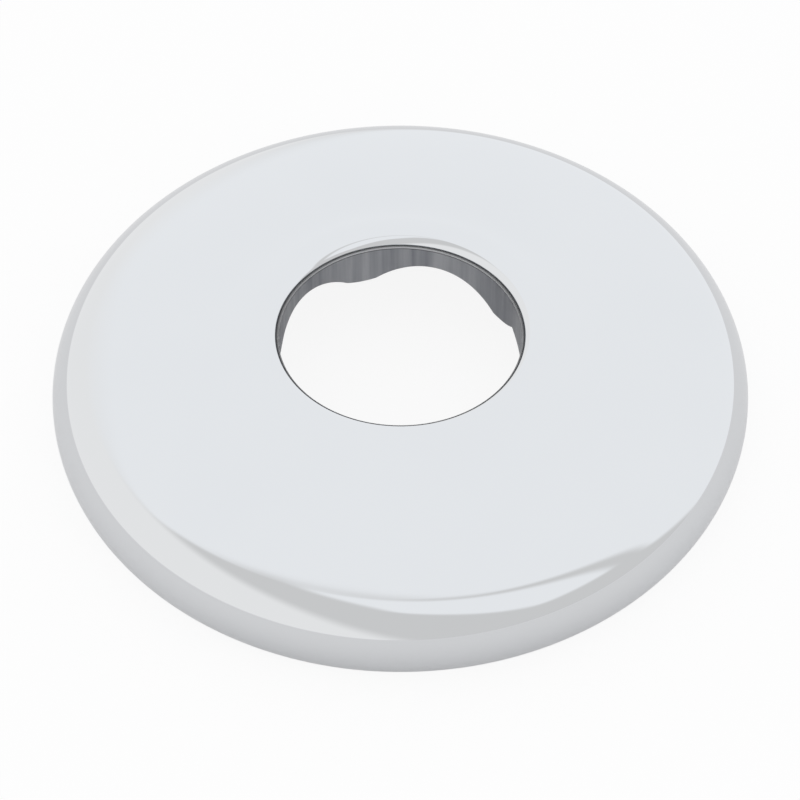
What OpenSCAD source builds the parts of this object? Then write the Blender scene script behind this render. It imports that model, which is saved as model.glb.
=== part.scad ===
// Round wall flange for a pipe: a shallow dome pressed from one sheet of metal.
// The rim curls under to the wall, a low collar rises round the pipe hole, and
// the collar's lip rolls into a short neck whose free edge is wavy from drawing.
// Millimetres. The wall is the plane z = 0 and the pipe runs along Z.

/* [Outline] */
// Outer diameter, at the widest ring of the rim
flange_d = 63.5; // [58:0.5:76]
// Height of the collar's crest above the wall
flange_h = 11.4; // [10.5:0.1:13]
// Thickness of the sheet
sheet_t = 0.6; // [0.4:0.05:0.8]

/* [Rim] */
// Outside radius of the rim's side
rim_r = 4.9; // [4:0.1:5.5]
// Outside radius of the shoulder, where the rim runs up into the dome
shoulder_r = 4.3; // [3.5:0.1:4.8]
// Slope at which the shoulder takes over from the side, degrees
shoulder_slope = 45; // [35:1:60]
// Turn of the rim from level round to its seat on the wall, degrees
rim_turn = 135; // [120:1:142]

/* [Dome] */
// Outside radius of the dome's section
dome_r = 50; // [42:1:120]

/* [Collar] */
// Outside radius of the section at the collar's top
collar_r = 7; // [5:0.1:8]
// Steepest slope on the collar's outside, degrees
collar_slope = 18.5; // [15:0.5:22]
// Radius of the hollow at the collar's foot
foot_r = 12; // [8:0.5:14]

/* [Pipe hole] */
// Diameter of the hole for the pipe
hole_d = 22; // [18:0.1:24]
// Outside radius of the lip that rolls into the hole
lip_r = 1.1; // [0.9:0.05:1.6]

/* [Neck] */
// Mean length of the straight neck below the lip
neck_l = 3.1; // [2.4:0.1:4]
// Directions of the ears that hang below the mean edge, degrees from +X
ear_at = [2, 37, 107, 180, 251, 322]; // each 0 to 360
// Half the angle that each ear takes at the mean edge
ear_half = [22, 16, 14, 17, 17, 18]; // each 12 to 24
// Length of each ear below the mean edge
ear_drop = [1.4, 1.4, 0.85, 1.0, 0.95, 1.1]; // each 0.5 to 1.6
// Directions of the scallops that rise above the mean edge
scallop_at = [73, 142, 216, 286]; // each 0 to 360
// Half the angle that each scallop takes at the mean edge
scallop_half = [21, 22, 20, 20]; // each 12 to 24
// Rise of each scallop above the mean edge
scallop_rise = [0.85, 1.25, 1.0, 0.95]; // each 0.5 to 1.5

/* [Hidden] */
$fn = 240;

hole_r = hole_d / 2;
cut_past = 1;
chord_gap = 0.005;
same_point = 0.0001;

// Unit vector at a slope: straight up at 0, outwards at 90, into the hole at -90
function lean(slope) = [sin(slope), cos(slope)];

// The rim's side meets the wall at its turn, so its centre stands this high
rim_c = [flange_d / 2 - rim_r, -rim_r * cos(rim_turn)];
shoulder_c = rim_c + (rim_r - shoulder_r) * lean(shoulder_slope);

// The lip and the collar's top share the crest of the collar
lip_c = [hole_r + lip_r, flange_h - lip_r];
collar_c = [hole_r + lip_r, flange_h - collar_r];
foot_c = collar_c + (collar_r + foot_r) * lean(collar_slope);

// The dome touches the shoulder from outside and the foot's hollow from below:
// its centre lies where two circles round those centres cross, on the low side
to_shoulder = dome_r - shoulder_r;
to_foot = dome_r + foot_r;
span = norm(foot_c - shoulder_c);
along = (to_foot ^ 2 - to_shoulder ^ 2 + span ^ 2) / (2 * span);
across = sqrt(to_foot ^ 2 - along ^ 2);
unit = (shoulder_c - foot_c) / span;
dome_c = foot_c + along * unit + across * [unit.y, -unit.x];

// Slopes where the dome leaves the shoulder and where it reaches the foot
edge_slope = atan2(shoulder_c.x - dome_c.x, shoulder_c.y - dome_c.y);
foot_slope = atan2(foot_c.x - dome_c.x, foot_c.y - dome_c.y);

// Slope at which the rim's inside reaches the wall's plane
seat_slope = acos(-rim_c.y / (rim_r - sheet_t));

// Heights of the neck's mean edge and of the tube that the edge is cut from
mean_z = lip_c.y - neck_l;
tube_z = mean_z - max(ear_drop) - cut_past;

// Points on an arc of radius r about c between two slopes, at chords that stay
// within chord_gap of the true arc
function arc(c, r, from, to) =
    let (
        step = 2 * acos(1 - chord_gap / abs(r)),
        count = ceil(abs(to - from) / step)
    )
    [for (i = [0 : count]) c + r * lean(from + (to - from) * i / count)];

// A path without the points that repeat the one before
function tidy(path) = [
    for (i = [0 : len(path) - 1])
        if (i == 0 || norm(path[i] - path[i - 1]) > same_point) path[i]
];

// One skin of the sheet, from the rim up and over into the neck: inset is 0 on
// the outside and the sheet's thickness on the inside
function skin(inset, rim_end) = concat(
    arc(rim_c, rim_r - inset, rim_end, shoulder_slope),
    arc(shoulder_c, shoulder_r - inset, shoulder_slope, edge_slope),
    arc(dome_c, dome_r - inset, edge_slope, foot_slope),
    arc(foot_c, -foot_r - inset, foot_slope, collar_slope),
    arc(collar_c, collar_r - inset, collar_slope, 0),
    arc(lip_c, lip_r - inset, 0, -90),
    [[hole_r + inset, tube_z]]
);

function reversed(path) = [for (i = [len(path) - 1 : -1 : 0]) path[i]];

// Half section of the sheet
module section() {
    polygon(concat(tidy(skin(0, rim_turn)), reversed(tidy(skin(sheet_t, seat_slope)))));
}

// A rod that points out of the hole through the neck, at one direction and height.
// Its circle passes through the mean edge at half_angle to each side, and stands
// out past that edge by bulge on the side that way gives: -1 below, 1 above.
module edge_rod(direction, half_angle, bulge, way) {
    half_w = hole_r * sin(half_angle);
    rod_r = (half_w ^ 2 + bulge ^ 2) / (2 * bulge);
    rotate([0, 0, direction])
        translate([0, 0, mean_z + way * (bulge - rod_r)])
            rotate([0, 90, 0])
                cylinder(r = rod_r, h = hole_r + 2 * sheet_t);
}

// What is cut off below the neck's wavy edge
module edge_waste() {
    difference() {
        translate([0, 0, tube_z - cut_past])
            cylinder(r = hole_r + 1.5 * sheet_t, h = mean_z - tube_z + cut_past);
        for (i = [0 : len(ear_at) - 1])
            edge_rod(ear_at[i], ear_half[i], ear_drop[i], -1);
    }
    for (i = [0 : len(scallop_at) - 1])
        edge_rod(scallop_at[i], scallop_half[i], scallop_rise[i], 1);
}

module wall_flange() {
    color("silver")
        difference() {
            rotate_extrude()
                section();
            edge_waste();
        }
}

wall_flange();
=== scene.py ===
"""Looks of a round wall flange for a pipe.

One sheet of metal is pressed into a shallow dome with a curled rim, a low collar and a short
neck that is turned down inside the pipe hole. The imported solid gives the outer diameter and
the height. The other sizes are fields of the classes below, in millimetres, and the meshes are
in metres. Directions in the studio are two angles: how far a direction leans from straight up
to the right, and how far it leans to the back, in degrees.
"""

import logging
import math
from dataclasses import dataclass, field
from enum import IntEnum

import bpy
import numpy as np
from mathutils import Matrix, Vector


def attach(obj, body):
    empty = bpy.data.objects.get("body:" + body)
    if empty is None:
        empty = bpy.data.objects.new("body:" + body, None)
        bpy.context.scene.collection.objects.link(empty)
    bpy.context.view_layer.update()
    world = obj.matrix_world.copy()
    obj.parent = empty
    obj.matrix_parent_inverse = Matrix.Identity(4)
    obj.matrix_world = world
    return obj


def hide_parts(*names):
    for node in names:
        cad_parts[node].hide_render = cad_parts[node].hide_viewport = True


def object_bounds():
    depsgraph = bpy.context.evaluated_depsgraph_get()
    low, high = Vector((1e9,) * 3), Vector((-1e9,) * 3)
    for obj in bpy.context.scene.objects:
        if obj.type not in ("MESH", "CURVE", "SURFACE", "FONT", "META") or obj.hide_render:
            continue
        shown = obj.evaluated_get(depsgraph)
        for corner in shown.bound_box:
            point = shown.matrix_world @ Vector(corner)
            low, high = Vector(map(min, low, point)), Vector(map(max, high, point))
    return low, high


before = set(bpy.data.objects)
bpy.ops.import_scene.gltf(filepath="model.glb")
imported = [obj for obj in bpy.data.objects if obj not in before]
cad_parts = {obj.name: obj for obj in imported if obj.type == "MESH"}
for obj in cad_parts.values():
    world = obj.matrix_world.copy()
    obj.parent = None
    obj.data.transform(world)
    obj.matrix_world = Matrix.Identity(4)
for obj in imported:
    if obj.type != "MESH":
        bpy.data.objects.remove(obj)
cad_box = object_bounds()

LOG = logging.getLogger("wall_flange")
MM = 0.001
NODE = "wall_flange"
BODY = "root"

Rgb = tuple[float, float, float]


class Zone(IntEnum):
    """Stretches of the sheet's surface, each with its own finish. The value is its material's index."""

    POLISHED = 0
    DRAWN = 1
    CUT = 2
    INSIDE = 3


@dataclass(frozen=True)
class Bend:
    """A round stretch of the sheet's section.

    Args:
        radius: outside radius of the bend.
        start: slope where it begins, 0 where the face looks up, 90 outwards, -90 into the hole.
        end: slope where it ends.
    """

    radius: float
    start: float
    end: float

    @property
    def length(self) -> float:
        """Length of the bend along the outside."""
        return self.radius * abs(math.radians(self.end - self.start))


def facing(slope: np.ndarray) -> np.ndarray:
    """Outward and upward parts of the face's direction: the sine and the cosine of its slope.

    Args:
        slope: slopes in degrees.

    Returns:
        An array with one more axis, of length 2.
    """
    angle = np.radians(slope)
    return np.stack([np.sin(angle), np.cos(angle)], axis=-1)


@dataclass(frozen=True)
class Wave:
    """One ear or scallop of the neck's free edge: an arc of a circle over the unrolled wall.

    Args:
        at: direction of its middle, degrees from +X towards +Y.
        half: half the angle that it takes at the mean edge.
        reach: how far it goes past the mean edge.
    """

    at: float
    half: float
    reach: float

    def bulge(self, turn: np.ndarray, hole_r: float) -> np.ndarray:
        """How far the arc lies past the mean edge, negative beside it.

        The circle passes through the mean edge at `half` to each side and stands out by `reach`,
        so its radius is (w squared + reach squared) / (2 reach), with w the half width.

        Args:
            turn: directions in degrees.
            hole_r: radius of the hole.

        Returns:
            The distance past the mean edge at each direction, very low where there is no arc.
        """
        half_w = hole_r * math.sin(math.radians(self.half))
        arc_r = (half_w**2 + self.reach**2) / (2 * self.reach)
        apart = (turn - self.at + 180.0) % 360.0 - 180.0
        across = hole_r * np.sin(np.radians(np.clip(apart, -90.0, 90.0)))
        inside = np.clip(arc_r**2 - across**2, 0.0, None)
        height = np.sqrt(inside) - arc_r + self.reach
        return np.where(inside > 0.0, height, -arc_r)


@dataclass(frozen=True)
class NeckEdge:
    """The wavy free edge of the neck, with ears below the mean edge and scallops above it."""

    ears: tuple[Wave, ...] = (
        Wave(2, 22, 1.4),
        Wave(37, 16, 1.4),
        Wave(107, 14, 0.85),
        Wave(180, 17, 1.0),
        Wave(251, 17, 0.95),
        Wave(322, 18, 1.1),
    )
    scallops: tuple[Wave, ...] = (
        Wave(73, 21, 0.85),
        Wave(142, 22, 1.25),
        Wave(216, 20, 1.0),
        Wave(286, 20, 0.95),
    )

    def height(self, turn: np.ndarray, mean_z: float, hole_r: float) -> np.ndarray:
        """Height of the edge: the lowest ear under the mean edge, then the highest scallop over it.

        Args:
            turn: directions in degrees from +X.
            mean_z: height of the mean edge.
            hole_r: radius of the hole.

        Returns:
            The height at each direction.
        """
        down = np.max([ear.bulge(turn, hole_r) for ear in self.ears], axis=0)
        up = np.max([cut.bulge(turn, hole_r) for cut in self.scallops], axis=0)
        return np.maximum(mean_z - np.maximum(down, 0.0), mean_z + up)


@dataclass(frozen=True)
class Row:
    """One ring of points round the flange.

    Args:
        radius: distance from the axis.
        height: height over the wall, at each direction.
        slope: slope of the face there.
        zone: finish of the strip that starts at this ring.
        tilt: 1 where the face follows the neck's wavy edge, 0 where it doesn't.
    """

    radius: float
    height: np.ndarray
    slope: float
    zone: Zone
    tilt: float = 0.0


@dataclass(frozen=True)
class Sheet:
    """The pressed sheet: its sizes, its section and the closed surface that the section makes.

    The section is a slope that changes along the sheet's length, from the rim's seat over the
    dome and the collar into the neck. The slope runs straight along each bend, and it is averaged
    over a short length, because a pressed sheet has no sudden change of bend. The points are the
    running sums of the slope's cosine and sine.
    """

    flange_d: float
    flange_h: float
    sheet_t: float = 0.6
    rim_r: float = 4.9
    shoulder_r: float = 4.3
    shoulder_slope: float = 45.0
    rim_turn: float = 135.0
    dome_r: float = 50.0
    collar_r: float = 7.0
    collar_slope: float = 18.5
    foot_r: float = 12.0
    hole_d: float = 22.0
    lip_r: float = 1.1
    neck_l: float = 3.1
    edge: NeckEdge = field(default_factory=NeckEdge)
    ease: float = 0.35
    face_step: float = 0.9
    face_bend: float = 3.5
    back_step: float = 1.4
    back_bend: float = 8.0
    edge_in_r: float = 0.2
    edge_out_r: float = 0.06
    seat_r: float = 0.08
    neck_rows: int = 12
    corner_rows: int = 5
    columns: int = 448
    samples: int = 8000

    @property
    def hole_r(self) -> float:
        """Radius of the pipe hole."""
        return self.hole_d / 2

    @property
    def lip_z(self) -> float:
        """Height at which the lip runs out into the neck's straight wall."""
        return self.flange_h - self.lip_r

    def bends(self) -> list[Bend]:
        """The bends from the rim's seat to the neck.

        The dome touches the shoulder from outside and the foot's hollow from below, so its centre
        is where two circles round their centres cross, on the low side.

        Returns:
            Six bends, each starting at the slope at which the one before it ends.
        """
        rim_c = np.array([self.flange_d / 2 - self.rim_r, -self.rim_r * math.cos(math.radians(self.rim_turn))])
        shoulder_c = rim_c + (self.rim_r - self.shoulder_r) * facing(self.shoulder_slope)
        collar_c = np.array([self.hole_r + self.lip_r, self.flange_h - self.collar_r])
        foot_c = collar_c + (self.collar_r + self.foot_r) * facing(self.collar_slope)
        to_shoulder = self.dome_r - self.shoulder_r
        to_foot = self.dome_r + self.foot_r
        span = float(np.linalg.norm(foot_c - shoulder_c))
        along = (to_foot**2 - to_shoulder**2 + span**2) / (2 * span)
        across = math.sqrt(to_foot**2 - along**2)
        unit = (shoulder_c - foot_c) / span
        dome_c = foot_c + along * unit + across * np.array([unit[1], -unit[0]])
        edge_slope = math.degrees(math.atan2(*(shoulder_c - dome_c)))
        foot_slope = math.degrees(math.atan2(*(foot_c - dome_c)))
        return [
            Bend(self.rim_r, self.rim_turn, self.shoulder_slope),
            Bend(self.shoulder_r, self.shoulder_slope, edge_slope),
            Bend(self.dome_r, edge_slope, foot_slope),
            Bend(self.foot_r, foot_slope, self.collar_slope),
            Bend(self.collar_r, self.collar_slope, 0.0),
            Bend(self.lip_r, 0.0, -90.0),
        ]

    def skin(self) -> tuple[np.ndarray, np.ndarray]:
        """The outside of the sheet, from the rim's seat to the end of the lip.

        Returns:
            Points (radius, height), and the slope at each, both at even steps of length.
        """
        bends = self.bends()
        stops = np.cumsum([0.0] + [bend.length for bend in bends])
        slopes = np.array([bends[0].start] + [bend.end for bend in bends])
        along = np.linspace(0.0, stops[-1], self.samples)
        sharp = np.interp(along, stops, slopes)
        step = along[1] - along[0]
        total = np.concatenate([[0.0], np.cumsum((sharp[1:] + sharp[:-1]) / 2 * step)])
        reach = np.minimum(self.ease, np.minimum(along, stops[-1] - along))
        low, high = np.interp(along - reach, along, total), np.interp(along + reach, along, total)
        slope = np.where(reach > step, (high - low) / np.maximum(2 * reach, step), sharp)
        heading = facing(slope)[:, ::-1] * np.array([-1.0, 1.0])
        path = np.concatenate([[[0.0, 0.0]], np.cumsum((heading[1:] + heading[:-1]) / 2 * step, axis=0)])
        path += [self.hole_r - path[-1, 0], self.flange_h - path[:, 1].max()]
        widest = self.flange_d / 2 / path[:, 0].max()
        path[:, 0] = self.hole_r + (path[:, 0] - self.hole_r) * (self.flange_d / 2 - self.hole_r) / (
            self.flange_d / 2 / widest - self.hole_r
        )
        path[:, 1] = self.flange_h - (self.flange_h - path[:, 1]) * self.flange_h / (self.flange_h - path[0, 1])
        return path, slope

    @staticmethod
    def pick(slope: np.ndarray, length: float, step: float, bend: float) -> np.ndarray:
        """Chooses stations along the skin, closer together where the sheet bends.

        Args:
            slope: slopes at even steps of length.
            length: length of the skin.
            step: widest spacing.
            bend: widest change of slope from one station to the next, in degrees.

        Returns:
            Indices into `slope`, from the first to the last.
        """
        travel = np.linspace(0.0, length, len(slope)) / step
        turned = np.concatenate([[0.0], np.cumsum(np.abs(np.diff(slope)))]) / bend
        load = travel + turned
        wanted = np.linspace(0.0, load[-1], int(math.ceil(load[-1])) + 1)
        return np.unique(np.searchsorted(load, wanted - 1e-9).clip(0, len(slope) - 1))

    def rows(self) -> list[Row]:
        """The closed section, ring by ring: face, lip, neck, cut edge, neck's back, inside and seat."""
        path, slope = self.skin()
        length = sum(bend.length for bend in self.bends())
        turn = self.turns()
        level = np.ones_like(turn)
        rows = [
            Row(path[i, 0], path[i, 1] * level, slope[i], Zone.POLISHED)
            for i in self.pick(slope, length, self.face_step, self.face_bend)
        ]
        rows += self.neck(turn)
        back = path - self.sheet_t * facing(slope)
        for i in self.pick(slope, length, self.back_step, self.back_bend)[::-1]:
            if back[i, 1] > self.seat_r:
                rows.append(Row(back[i, 0], back[i, 1] * level, slope[i] + 180.0, Zone.INSIDE))
        return rows + self.seat(back, slope, level)

    def turns(self) -> np.ndarray:
        """Direction of each column of points, in degrees from +X."""
        return np.arange(self.columns) * 360.0 / self.columns

    def neck(self, turn: np.ndarray) -> list[Row]:
        """Rings of the neck: down its wall, round the wavy cut edge, and up its back.

        Args:
            turn: direction of each column.

        Returns:
            The rings after the lip's last one, up to the start of the inside.
        """
        mean_z = self.lip_z - self.neck_l
        edge_z = self.edge.height(turn, mean_z, self.hole_r)
        rows = [Row(self.hole_r, self.lip_z - 0.001 + 0.0 * turn, -90.0, Zone.DRAWN)]
        for part in np.linspace(0.0, 1.0, self.neck_rows + 1)[1:]:
            height = self.lip_z + part * (edge_z + self.edge_in_r - self.lip_z)
            rows.append(Row(self.hole_r, height, -90.0, Zone.DRAWN))
        for slope in np.linspace(-90.0, -180.0, self.corner_rows)[1:]:
            out, up = facing(slope) * self.edge_in_r
            rows.append(Row(self.hole_r + self.edge_in_r + out, edge_z + self.edge_in_r + up, slope, Zone.CUT, 1.0))
        for slope in np.linspace(-180.0, -270.0, self.corner_rows):
            out, up = facing(slope) * self.edge_out_r
            radius = self.hole_r + self.sheet_t - self.edge_out_r + out
            rows.append(Row(radius, edge_z + self.edge_out_r + up, slope, Zone.CUT, 1.0))
        rows[-1] = Row(rows[-1].radius, rows[-1].height, rows[-1].slope, Zone.INSIDE)
        for part in np.linspace(1.0, 0.0, self.neck_rows // 2 + 1)[1:-1]:
            height = self.lip_z + part * (edge_z - self.lip_z)
            rows.append(Row(self.hole_r + self.sheet_t, height, 90.0, Zone.INSIDE))
        return rows

    def seat(self, back: np.ndarray, slope: np.ndarray, level: np.ndarray) -> list[Row]:
        """Rings of the narrow flat on which the sheet's outer edge meets the wall.

        Args:
            back: points of the sheet's inner side.
            slope: slope of the sheet at each.
            level: ones, one for each column.

        Returns:
            The rings from the inner corner of the seat to its outer corner.
        """
        rim_z = -self.rim_r * math.cos(math.radians(self.rim_turn))
        inner_slope = math.degrees(math.acos(-rim_z / (self.rim_r - self.sheet_t)))
        rim_x = self.flange_d / 2 - self.rim_r
        inner_x = rim_x + (self.rim_r - self.sheet_t) * math.sin(math.radians(inner_slope))
        outer_x = rim_x + self.rim_r * math.sin(math.radians(self.rim_turn))
        rows = []
        for part in np.linspace(0.0, 1.0, self.corner_rows):
            face = inner_slope + 180.0 + part * (180.0 - inner_slope)
            lift = self.seat_r * (1 - part) ** 2
            rows.append(Row(inner_x + self.seat_r * part, lift * level, face, Zone.CUT))
        for part in np.linspace(0.0, 1.0, self.corner_rows)[:-1]:
            face = 180.0 - part * (180.0 - self.rim_turn)
            lift = 0.3 * self.seat_r * part**2
            rows.append(Row(outer_x - self.seat_r * (1 - part), lift * level, face, Zone.CUT))
        return rows

    def mesh(self, name: str) -> bpy.types.Mesh:
        """The closed surface: the section carried round the axis.

        A point is (radius cos turn, radius sin turn, height). Its direction is the section's,
        leaned along the turn where the neck's edge rises or falls.

        Args:
            name: name of the mesh.

        Returns:
            A mesh with one material index for each zone and its own normals.
        """
        rows = self.rows()
        turn = np.radians(self.turns())
        radius = np.array([row.radius for row in rows])[:, None]
        height = np.array([row.height for row in rows])
        slope = np.array([row.slope for row in rows])[:, None]
        tilt = np.array([row.tilt for row in rows])[:, None]
        points = np.stack([radius * np.cos(turn), radius * np.sin(turn), height], axis=-1)
        rise = (np.roll(height, -1, axis=1) - np.roll(height, 1, axis=1)) * self.columns / (4 * math.pi * radius)
        out, up = np.moveaxis(facing(slope), -1, 0)
        along = -up * rise * tilt
        normals = np.stack(
            [
                out * np.cos(turn) - along * np.sin(turn),
                out * np.sin(turn) + along * np.cos(turn),
                up + 0.0 * turn,
            ],
            axis=-1,
        )
        normals /= np.linalg.norm(normals, axis=-1, keepdims=True)
        zones = np.repeat([int(row.zone) for row in rows], self.columns)
        mesh = closed_grid(name, points * MM, zones)
        mesh.normals_split_custom_set_from_vertices(normals.reshape(-1, 3))
        return mesh


def closed_grid(name: str, points: np.ndarray, zones: np.ndarray) -> bpy.types.Mesh:
    """Makes a mesh from a grid of points that closes on itself both ways.

    Args:
        name: name of the mesh.
        points: rows by columns by three, in metres.
        zones: material index of the face that starts at each point, row by row.

    Returns:
        A smooth mesh of four-sided faces.
    """
    rows, columns = points.shape[:2]
    index = np.arange(rows * columns).reshape(rows, columns)
    below = np.roll(index, -1, axis=0)
    corners = np.stack([index, np.roll(index, -1, axis=1), np.roll(below, -1, axis=1), below], axis=-1)
    return quads(name, points.reshape(-1, 3), corners.reshape(-1, 4), zones)


def quads(name: str, points: np.ndarray, corners: np.ndarray, zones: np.ndarray) -> bpy.types.Mesh:
    """Makes a smooth mesh of four-sided faces.

    Args:
        name: name of the mesh.
        points: one row of three for each point, in metres.
        corners: one row of four point numbers for each face, outside seen anticlockwise.
        zones: material index of each face.

    Returns:
        The mesh.
    """
    mesh = bpy.data.meshes.new(name)
    mesh.vertices.add(len(points))
    mesh.vertices.foreach_set("co", np.ascontiguousarray(points, np.float32).ravel())
    mesh.loops.add(corners.size)
    mesh.loops.foreach_set("vertex_index", corners.astype(np.int32).ravel())
    mesh.polygons.add(len(corners))
    mesh.polygons.foreach_set("loop_start", np.arange(0, corners.size, 4, dtype=np.int32))
    mesh.polygons.foreach_set("material_index", zones.astype(np.int32))
    mesh.polygons.foreach_set("use_smooth", np.ones(len(corners), bool))
    mesh.update(calc_edges=True)
    mesh.validate()
    return mesh


def link(name: str, mesh: bpy.types.Mesh) -> bpy.types.Object:
    """Puts a mesh into the scene as an object at the origin."""
    obj = bpy.data.objects.new(name, mesh)
    bpy.context.scene.collection.objects.link(obj)
    return obj


class Nodes:
    """Short calls for building one material's node tree."""

    def __init__(self, name: str) -> None:
        """Makes an empty material.

        Args:
            name: name of the material.
        """
        self.material = bpy.data.materials.new(name)
        self.material.use_nodes = True
        self.tree = self.material.node_tree
        self.tree.nodes.clear()
        self.output = self.tree.nodes.new("ShaderNodeOutputMaterial")

    def add(self, kind: str, inputs: dict | None = None, **settings: object) -> bpy.types.Node:
        """Adds a node.

        Args:
            kind: the node's type.
            inputs: values or sockets for its inputs, by name or number.
            settings: the node's own settings.

        Returns:
            The node.
        """
        node = self.tree.nodes.new(kind)
        for key, value in settings.items():
            setattr(node, key, value)
        for key, value in (inputs or {}).items():
            if isinstance(value, bpy.types.NodeSocket):
                self.tree.links.new(value, node.inputs[key])
            else:
                node.inputs[key].default_value = value
        return node

    def place(self) -> bpy.types.NodeSocket:
        """Place on the object, in metres."""
        return self.add("ShaderNodeTexCoord").outputs["Object"]

    def noise(self, stretch: Rgb, detail: float = 2.0, roughness: float = 0.5) -> bpy.types.NodeSocket:
        """Soft noise from 0 to 1 over the object.

        Args:
            stretch: waves in a metre along X, Y and Z.
            detail: octaves added to the first.
            roughness: strength of each octave against the one before.

        Returns:
            The socket with the noise.
        """
        scaled = self.add("ShaderNodeMapping", {"Vector": self.place(), "Scale": stretch})
        inputs = {"Vector": scaled.outputs[0], "Scale": 1.0, "Detail": detail, "Roughness": roughness}
        return self.add("ShaderNodeTexNoise", inputs).outputs[0]

    def remap(self, value: bpy.types.NodeSocket, low: float, high: float, out_low: float, out_high: float,
              smooth: bool = False) -> bpy.types.NodeSocket:
        """Carries a value from one range to another, held at both ends."""
        inputs = {"Value": value, "From Min": low, "From Max": high, "To Min": out_low, "To Max": out_high}
        kind = "SMOOTHSTEP" if smooth else "LINEAR"
        return self.add("ShaderNodeMapRange", inputs, interpolation_type=kind).outputs[0]

    def blend(self, factor: bpy.types.NodeSocket, a: object, b: object) -> bpy.types.NodeSocket:
        """Mixes two colours, each a socket or three numbers."""
        node = self.add("ShaderNodeMix", {0: factor}, data_type="RGBA", clamp_result=False)
        for number, value in ((6, a), (7, b)):
            if isinstance(value, bpy.types.NodeSocket):
                self.tree.links.new(value, node.inputs[number])
            else:
                node.inputs[number].default_value = (*value, 1.0)
        return node.outputs[2]

    def finish(self, shader: bpy.types.NodeSocket) -> bpy.types.Material:
        """Joins a shader to the output and returns the material."""
        self.tree.links.new(shader, self.output.inputs["Surface"])
        return self.material


@dataclass(frozen=True)
class PolishedChrome:
    """Mirror-polished plate: a near-even colour, with a polish that is a little finer here and there."""

    colour: Rgb = (0.70, 0.71, 0.72)
    colour_dim: Rgb = (0.685, 0.696, 0.708)
    smooth: float = 0.030
    rough: float = 0.055

    def build(self) -> bpy.types.Material:
        """Returns the material."""
        nodes = Nodes("polished_chrome")
        patches = nodes.noise((90.0, 90.0, 90.0))
        rough = nodes.remap(patches, 0.3, 0.7, self.smooth, self.rough)
        colour = nodes.blend(patches, self.colour, self.colour_dim)
        shader = nodes.add(
            "ShaderNodeBsdfPrincipled", {"Base Color": colour, "Metallic": 1.0, "Roughness": rough}
        )
        return nodes.finish(shader.outputs[0])


@dataclass(frozen=True)
class DrawnSteel:
    """The neck's wall, stretched in drawing: dull grey with strokes that run down it, and painted shade on top: a
    near-black band where the lip turns down into the neck.
    """

    colour: Rgb = (0.52, 0.53, 0.55)
    colour_dark: Rgb = (0.30, 0.31, 0.34)
    # painted shade: near-black colour for the band at the top of the neck wall, where the lip bends into it
    crease_shade: Rgb = (0.08, 0.08, 0.09)
    crease_shade_z: float = 10.3
    crease_shade_w: float = 0.16
    rough: float = 0.36

    def build(self) -> bpy.types.Material:
        """Returns the material."""
        nodes = Nodes("drawn_steel")
        strokes = nodes.noise((1500.0, 1500.0, 60.0), 3.0, 0.6)
        broad = nodes.noise((300.0, 300.0, 40.0))
        mixed = nodes.add("ShaderNodeMath", {0: strokes, 1: broad}, operation="ADD")
        spread = nodes.remap(mixed.outputs[0], 0.7, 1.3, 0.0, 1.0)
        wall = nodes.blend(spread, self.colour_dark, self.colour)
        height = nodes.add("ShaderNodeSeparateXYZ", {0: nodes.place()}).outputs["Z"]
        # painted shade: fades the wall to near black over a narrow band just under the lip's bend, by height
        crease_shade_mask = nodes.remap(height, (self.crease_shade_z - self.crease_shade_w) * MM, self.crease_shade_z * MM, 0.0, 1.0, True)
        colour = nodes.blend(crease_shade_mask, wall, self.crease_shade)
        bump = nodes.add("ShaderNodeBump", {"Strength": 0.25, "Distance": 0.00003, "Height": strokes})
        shader = nodes.add(
            "ShaderNodeBsdfPrincipled",
            {"Base Color": colour, "Metallic": 1.0, "Roughness": self.rough, "Normal": bump.outputs[0]},
        )
        return nodes.finish(shader.outputs[0])


@dataclass(frozen=True)
class CutEdge:
    """The sheet's torn and rubbed edge: bright, with dark nicks across it."""

    colour: Rgb = (0.72, 0.72, 0.73)
    colour_dark: Rgb = (0.12, 0.12, 0.13)
    rough: float = 0.25

    def build(self) -> bpy.types.Material:
        """Returns the material."""
        nodes = Nodes("cut_edge")
        nicks = nodes.noise((1100.0, 1100.0, 200.0), 2.0, 0.6)
        colour = nodes.blend(nodes.remap(nicks, 0.34, 0.46, 0.0, 1.0), self.colour_dark, self.colour)
        shader = nodes.add(
            "ShaderNodeBsdfPrincipled", {"Base Color": colour, "Metallic": 1.0, "Roughness": self.rough}
        )
        return nodes.finish(shader.outputs[0])


@dataclass(frozen=True)
class PlatedInside:
    """The hidden side: unpolished plate, satin, clouded where the polish stopped."""

    colour: Rgb = (0.62, 0.63, 0.64)
    colour_dull: Rgb = (0.50, 0.50, 0.50)
    smooth: float = 0.24
    rough: float = 0.42

    def build(self) -> bpy.types.Material:
        """Returns the material."""
        nodes = Nodes("plated_inside")
        clouds = nodes.noise((130.0, 130.0, 130.0), 4.0, 0.6)
        grain = nodes.noise((2200.0, 2200.0, 2200.0), 2.0)
        colour = nodes.blend(nodes.remap(clouds, 0.3, 0.7, 0.0, 1.0), self.colour, self.colour_dull)
        rough = nodes.remap(clouds, 0.3, 0.7, self.smooth, self.rough)
        bump = nodes.add("ShaderNodeBump", {"Strength": 0.2, "Distance": 0.00002, "Height": grain})
        shader = nodes.add(
            "ShaderNodeBsdfPrincipled",
            {"Base Color": colour, "Metallic": 1.0, "Roughness": rough, "Normal": bump.outputs[0]},
        )
        return nodes.finish(shader.outputs[0])


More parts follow.
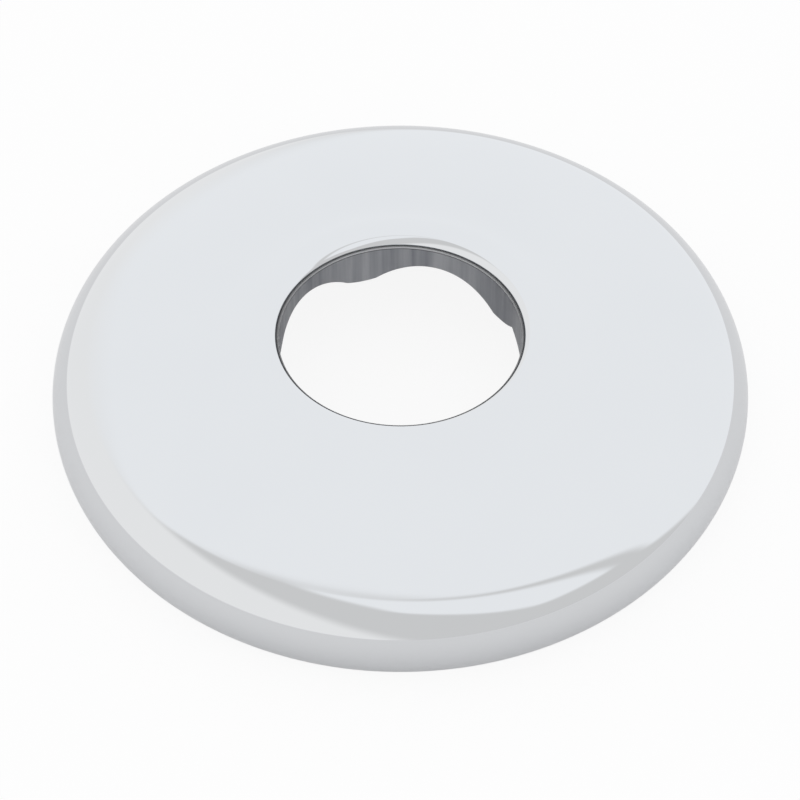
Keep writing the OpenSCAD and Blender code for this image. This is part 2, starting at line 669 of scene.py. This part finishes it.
@dataclass
class WallFlange:
    """The flange itself: one sheet with four finishes.

    Args:
        low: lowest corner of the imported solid, in metres.
        high: highest corner of it.
    """

    low: Vector
    high: Vector

    def sheet(self) -> Sheet:
        """The sheet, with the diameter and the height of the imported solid."""
        return Sheet(flange_d=(self.high.x - self.low.x) / MM, flange_h=self.high.z / MM)

    def build(self) -> bpy.types.Object:
        """Makes the flange's object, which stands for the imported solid."""
        obj = link("flange_sheet", self.sheet().mesh("flange_sheet"))
        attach(obj, BODY)
        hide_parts(NODE)
        return obj

    def dress(self, obj: bpy.types.Object) -> None:
        """Gives each zone its finish.

        Args:
            obj: the flange's object.
        """
        for finish in (PolishedChrome(), DrawnSteel(), CutEdge(), PlatedInside()):
            obj.data.materials.append(finish.build())


def toward(right: np.ndarray, back: np.ndarray) -> np.ndarray:
    """Unit vectors that lean from straight up: the sine of the whole lean, shared out, and its cosine.

    Args:
        right: degrees of lean to the right.
        back: degrees of lean to the back.

    Returns:
        An array with one more axis, of length 3.
    """
    right, back = np.broadcast_arrays(np.asarray(right, float), np.asarray(back, float))
    lean = np.hypot(right, back)
    share = np.sin(np.radians(lean)) / np.maximum(lean, 1e-9)
    return np.stack([right * share, back * share, np.cos(np.radians(lean))], axis=-1)


@dataclass(frozen=True)
class Panel:
    """A soft-edged panel of the studio, as the sheet mirrors it.

    Args:
        name: what it is.
        glow: strength, where 1 is white.
        corners: (right, back) leans of its corners, anticlockwise seen from above on a map
            with right to the right and back upwards. Two corners make the half to their left.
        soft: width in degrees of the fade at each edge, one for each corner's edge to the next.
        tint: colour of the light.
    """

    name: str
    glow: float
    corners: tuple[tuple[float, float], ...]
    soft: tuple[float, ...]
    tint: Rgb = (1.0, 1.0, 1.0)

    def cover(self, rays: np.ndarray) -> np.ndarray:
        """How much of the panel each direction meets: the product of a smooth step over each edge.

        Args:
            rays: unit vectors.

        Returns:
            0 outside, 1 inside.
        """
        ends = [toward(*corner) for corner in self.corners]
        edges = len(ends) if len(ends) > 2 else 1
        cover = np.ones(rays.shape[:-1])
        for i in range(edges):
            side = np.cross(ends[i], ends[(i + 1) % len(ends)])
            past = np.degrees(np.arcsin(np.clip(rays @ (side / np.linalg.norm(side)), -1.0, 1.0)))
            step = np.clip(past / self.soft[i % len(self.soft)] + 0.5, 0.0, 1.0)
            cover *= step * step * (3.0 - 2.0 * step)
        return cover


STUDIO = (
    Panel("left_wall", 0.81, ((-33, 10), (-33, -10)), (12,), (1.0, 1.0, 1.0)),
    Panel("softbox", 1.12, ((-33, 8), (-14, 3), (60, -28), (100, 40), (60, 95), (-30, 60)), (6,), (0.985, 1.0, 1.02)),
    Panel("softbox_front", 1.12, ((-14, 3), (-8, -15), (-2, -30), (8, -38), (25, -48), (43, -50), (60, -28)), (6,),
          (0.985, 1.0, 1.02)),
)


@dataclass
class Studio:
    """A white room: the shell that the sheet mirrors, the floor, and the light.

    The sheet is a mirror, so the studio is made of what it mirrors. Each direction's glow is the
    room's, painted over by the panels in order.
    """

    shell_r: float = 3.0
    shell_step: float = 1.0
    floor_r: float = 1.2
    floor_drop: float = 0.02
    floor_white: float = 0.9
    floor_mirrored: float = 0.1
    floor_colour: Rgb = (0.86, 0.86, 0.87)

    def glow(self, rays: np.ndarray) -> np.ndarray:
        """Colour and strength of the studio in each direction."""
        colour = np.ones(rays.shape) * 1.08
        for panel in STUDIO:
            cover = panel.cover(rays)[..., None]
            colour = colour * (1 - cover) + panel.glow * np.array(panel.tint) * cover
        return colour

    def shell(self) -> bpy.types.Object:
        """The round shell that only mirrors see: a sphere on a grid of lean and turn."""
        lean = np.radians(np.linspace(0.2, 179.8, int(180 / self.shell_step)))[:, None]
        turn = np.radians(np.arange(0.0, 360.0, self.shell_step))[None, :]
        rays = np.stack([np.sin(lean) * np.cos(turn), np.sin(lean) * np.sin(turn), np.cos(lean) + 0 * turn], axis=-1)
        rows, columns = rays.shape[:2]
        index = np.arange(rows * columns).reshape(rows, columns)
        beside = np.roll(index, -1, axis=1)
        corners = np.stack([index[:-1], beside[:-1], beside[1:], index[1:]], axis=-1).reshape(-1, 4)
        mesh = quads("studio_shell", rays.reshape(-1, 3) * self.shell_r, corners, np.zeros(len(corners)))
        colour = np.concatenate([self.glow(rays), np.ones((rows, columns, 1))], axis=-1)
        mesh.attributes.new("glow", "FLOAT_COLOR", "POINT")
        mesh.attributes["glow"].data.foreach_set("color", colour.astype(np.float32).ravel())
        obj = link("studio_shell", mesh)
        nodes = Nodes("studio_glow")
        glow = nodes.add("ShaderNodeAttribute", attribute_name="glow").outputs["Color"]
        light = nodes.add("ShaderNodeEmission", {"Color": glow, "Strength": 1.0})
        material = nodes.finish(light.outputs[0])
        material.cycles.emission_sampling = "NONE"
        mesh.materials.append(material)
        for ray in ("camera", "diffuse", "transmission", "shadow", "volume_scatter"):
            setattr(obj, f"visible_{ray}", False)
        return obj

    def floor(self) -> bpy.types.Object:
        """The pale floor: white to the eye, and lit by the room where it is mirrored or shaded."""
        turn = np.linspace(0.0, 2 * math.pi, 97)[:-1]
        rim = np.stack([np.cos(turn), np.sin(turn), 0 * turn], axis=-1) * self.floor_r
        rim[:, 2] = -self.floor_drop * MM
        mesh = bpy.data.meshes.new("floor")
        mesh.from_pydata(rim.tolist(), [], [list(range(len(rim)))])
        obj = link("floor", mesh)
        nodes = Nodes("floor_paint")
        path = nodes.add("ShaderNodeLightPath")
        seen = nodes.add("ShaderNodeMath", {0: path.outputs["Is Camera Ray"], 1: self.floor_white}, operation="MULTIPLY")
        mirrored = nodes.add(
            "ShaderNodeMath", {0: path.outputs["Is Glossy Ray"], 1: self.floor_mirrored}, operation="MULTIPLY"
        )
        through = nodes.add(
            "ShaderNodeMath", {0: path.outputs["Is Transmission Ray"], 1: self.floor_white}, operation="MULTIPLY"
        )
        both = nodes.add("ShaderNodeMath", {0: seen.outputs[0], 1: mirrored.outputs[0]}, operation="ADD")
        share = nodes.add("ShaderNodeMath", {0: both.outputs[0], 1: through.outputs[0]}, operation="ADD")
        paint = nodes.add("ShaderNodeBsdfDiffuse", {"Color": (*self.floor_colour, 1.0)})
        white = nodes.add("ShaderNodeEmission", {"Color": (1.0, 1.0, 1.0, 1.0), "Strength": 1.0})
        mixed = nodes.add("ShaderNodeMixShader", {0: share.outputs[0], 1: paint.outputs[0], 2: white.outputs[0]})
        mesh.materials.append(nodes.finish(mixed.outputs[0]))
        return obj

    def light(self) -> None:
        """Plain white light from all round, at strength 1."""
        world = bpy.data.worlds.new("white_room")
        bpy.context.scene.world = world
        world.use_nodes = True
        background = world.node_tree.nodes["Background"]
        background.inputs["Color"].default_value = (1.0, 1.0, 1.0, 1.0)
        background.inputs["Strength"].default_value = 1.0

    def build(self) -> None:
        """Makes the shell, the floor and the light."""
        self.shell()
        self.floor()
        self.light()


@dataclass(frozen=True)
class PhotoCamera:
    """The camera, at the photograph's angle.

    Args:
        elevation: degrees above the floor.
        distance: distance to what it aims at, in mm.
        image_px: width of the square picture.
        px_per_mm: pixels to the millimetre at the flange's origin.
        aim_right, aim_up: where it aims, in mm across and up the picture from the origin.
    """

    elevation: float = 48.40
    distance: float = 420.0
    image_px: float = 800.0
    px_per_mm: float = 10.87
    aim_right: float = -0.03
    aim_up: float = 1.12
    sensor: float = 36.0

    def build(self) -> bpy.types.Object:
        """Makes the camera and the scene's view of it."""
        data = bpy.data.cameras.new("photo_camera")
        data.sensor_width = self.sensor
        data.lens = self.sensor * self.px_per_mm * self.distance / self.image_px
        data.clip_start = 0.01
        data.clip_end = 20.0
        obj = bpy.data.objects.new("photo_camera", data)
        bpy.context.scene.collection.objects.link(obj)
        angle = math.radians(self.elevation)
        back = Vector((0.0, -math.cos(angle), math.sin(angle)))
        aim = Vector((self.aim_right, 0.0, 0.0)) + Vector((0.0, math.sin(angle), math.cos(angle))) * self.aim_up
        turn = (-back).to_track_quat("-Z", "Y").to_matrix().to_4x4()
        obj.matrix_world = Matrix.Translation((aim + back * self.distance) * MM) @ turn
        bpy.context.scene.camera = obj
        return obj


def main() -> None:
    """Builds the flange and the studio, and reports each piece."""
    logging.basicConfig(level=logging.INFO, format="%(name)s: %(message)s")
    PhotoCamera().build()
    flange = WallFlange(*cad_box)
    obj = flange.build()
    flange.dress(obj)
    LOG.info("%s: %d faces, %d finishes", obj.name, len(obj.data.polygons), len(obj.data.materials))
    Studio().build()
    LOG.info("studio: %d panels", len(STUDIO))
    bpy.context.scene.view_settings.view_transform = "Standard"


if __name__ == "__main__":
    main()
